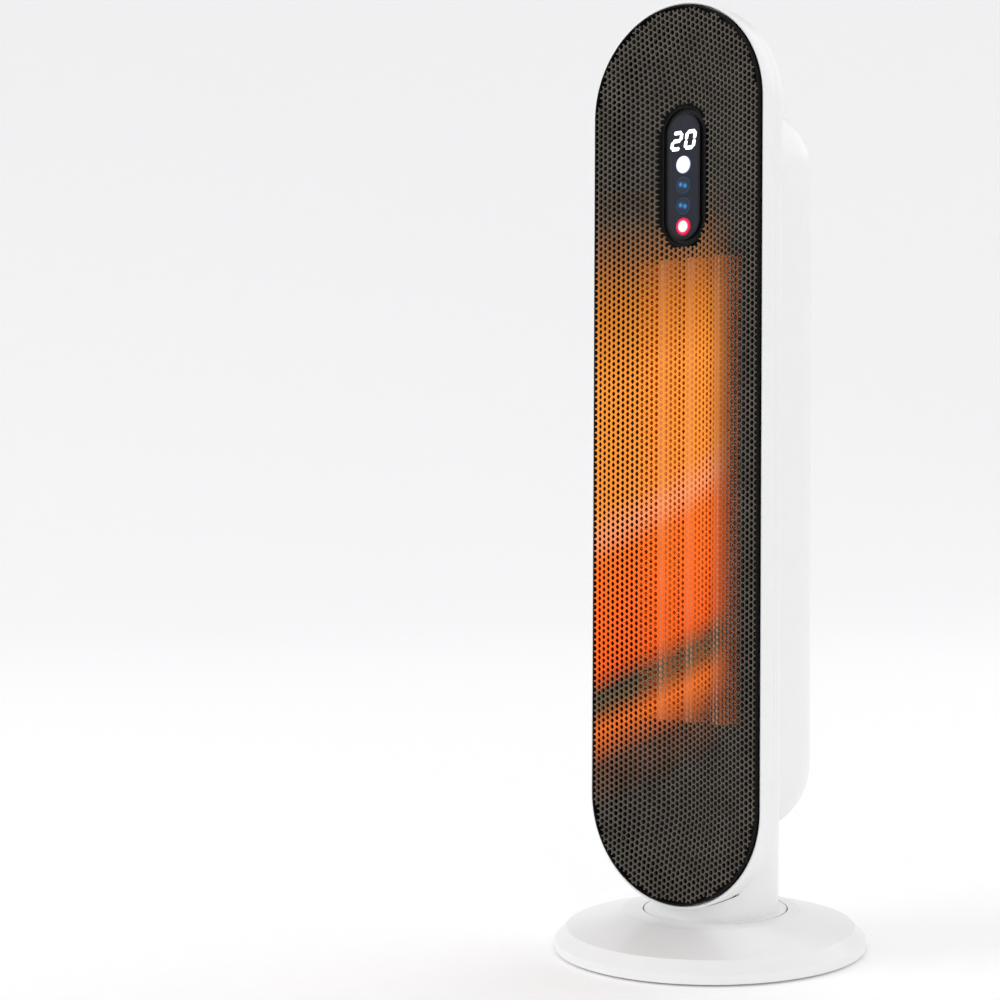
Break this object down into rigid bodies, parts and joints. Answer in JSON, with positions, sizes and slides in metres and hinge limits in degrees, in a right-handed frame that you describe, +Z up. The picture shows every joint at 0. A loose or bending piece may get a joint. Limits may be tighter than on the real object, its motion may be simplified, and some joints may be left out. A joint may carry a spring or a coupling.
{
  "type": "ceramic space heater",
  "caption": "Upright ceramic fan heater: a dished honeycomb grille in a white slot-shaped tower that swivels on a round base, with a lit touch-key control panel.",
  "frame": {"origin": "centre of the round base at the floor", "axes": "+Z up, -Y the way the tower faces, +X to the viewer's right"},
  "size_m": [0.208, 0.208, 0.623],
  "materials": {
    "white_shell": "glossy white moulded ABS",
    "black_grille": "semi-gloss black moulded ABS",
    "grey_plastic": "matt grey moulded plastic",
    "acetal": "natural acetal",
    "foot_rubber": "matt black rubber",
    "ballast_steel": "plain steel",
    "screw_steel": "zinc-plated steel",
    "panel_lens": "smoked glossy acrylic",
    "panel_housing": "glossy dark plastic",
    "display_digits": "lit two-digit display",
    "circuit_board": "green circuit board",
    "switch_black": "black component plastic",
    "key_red": "lit red key",
    "key_blue": "blue ring key",
    "key_white": "lit white key",
    "heater_mica": "heat-proof moulding",
    "heater_ceramic": "ceramic stones in flat metal bars",
    "fin_aluminium": "thin bare aluminium strip",
    "motor_steel": "plated steel can",
    "relay_blue": "blue relay case",
    "fan_plastic": "black fan plastic"
  },
  "bodies": {
    "base": {"base_cover": "white_shell", "base_plate": "grey_plastic", "rubber_feet": "foot_rubber", "base_screws": "screw_steel", "base_weight": "ballast_steel", "cable_inlet": "switch_black", "turntable_seat": "grey_plastic", "glide_ring": "acetal", "bearing_post": "acetal", "fixed_gear": "acetal", "swivel_washer": "acetal"},
    "tower": {"neck_column": "white_shell", "retaining_plate": "ballast_steel", "retainer_screws": "screw_steel", "swivel_motor": "motor_steel", "swivel_motor_screws": "screw_steel", "column_plate": "ballast_steel", "column_screws": "screw_steel", "front_frame": "white_shell", "front_grille": "black_grille", "grille_screws": "screw_steel", "rear_cover": "white_shell", "body_screws": "screw_steel", "intake_grille": "white_shell", "display_housing": "panel_housing", "display_lens": "panel_lens", "display_module": "display_digits", "display_board": "circuit_board", "key_switches": "switch_black", "air_baffle": "fan_plastic", "heater_frame": "heater_mica", "ceramic_bars": "heater_ceramic", "radiator_fins": "fin_aluminium", "heater_terminals": "screw_steel", "thermal_cutout": "motor_steel", "thermal_fuse": "heater_mica", "scroll_wall": "fan_plastic", "fan_tongue": "fan_plastic", "fan_lower_plate": "fan_plastic", "fan_upper_plate": "fan_plastic", "upper_bearing": "acetal", "fan_motor": "motor_steel", "motor_pillars": "acetal", "power_board": "circuit_board", "board_screws": "screw_steel", "relays": "relay_blue", "mains_capacitor": "switch_black", "tip_over_switch": "switch_black"},
    "pinion": {"swivel_pinion": "acetal"},
    "fan": {"fan_wheel": "fan_plastic", "fan_shaft": "screw_steel"},
    "power_key": {"power_key": "key_red"},
    "swing_key": {"swing_key": "key_blue"},
    "timer_key": {"timer_key": "key_blue"},
    "mode_key": {"mode_key": "key_white"}
  },
  "joints": [
    {"name": "swivel", "type": "hinge", "parent": "base", "child": "tower", "pos_m": [0, 0.0054, 0], "axis": [0, 0, 1], "range_deg": [-35, 35]},
    {"name": "pinion_spin", "type": "hinge", "parent": "tower", "child": "pinion", "pos_m": [0, 0.0334, 0], "axis": [0, 0, 1], "range_deg": [-105, 105]},
    {"name": "fan_spin", "type": "hinge", "parent": "tower", "child": "fan", "pos_m": [0, 0.021, 0], "axis": [0, 0, 1], "continuous": true},
    {"name": "power_key_press", "type": "slide", "parent": "tower", "child": "power_key", "axis": [0, 1, 0], "range_m": [0, 0.0006], "stiffness_N_per_m": 600, "springref_m": -0.0004},
    {"name": "swing_key_press", "type": "slide", "parent": "tower", "child": "swing_key", "axis": [0, 1, 0], "range_m": [0, 0.0006], "stiffness_N_per_m": 600, "springref_m": -0.0004},
    {"name": "timer_key_press", "type": "slide", "parent": "tower", "child": "timer_key", "axis": [0, 1, 0], "range_m": [0, 0.0006], "stiffness_N_per_m": 600, "springref_m": -0.0004},
    {"name": "mode_key_press", "type": "slide", "parent": "tower", "child": "mode_key", "axis": [0, 1, 0], "range_m": [0, 0.0006], "stiffness_N_per_m": 600, "springref_m": -0.0004}
  ],
  "couplings": [
    {"joint": "pinion_spin", "follows": "swivel", "ratio": 3}
  ]
}
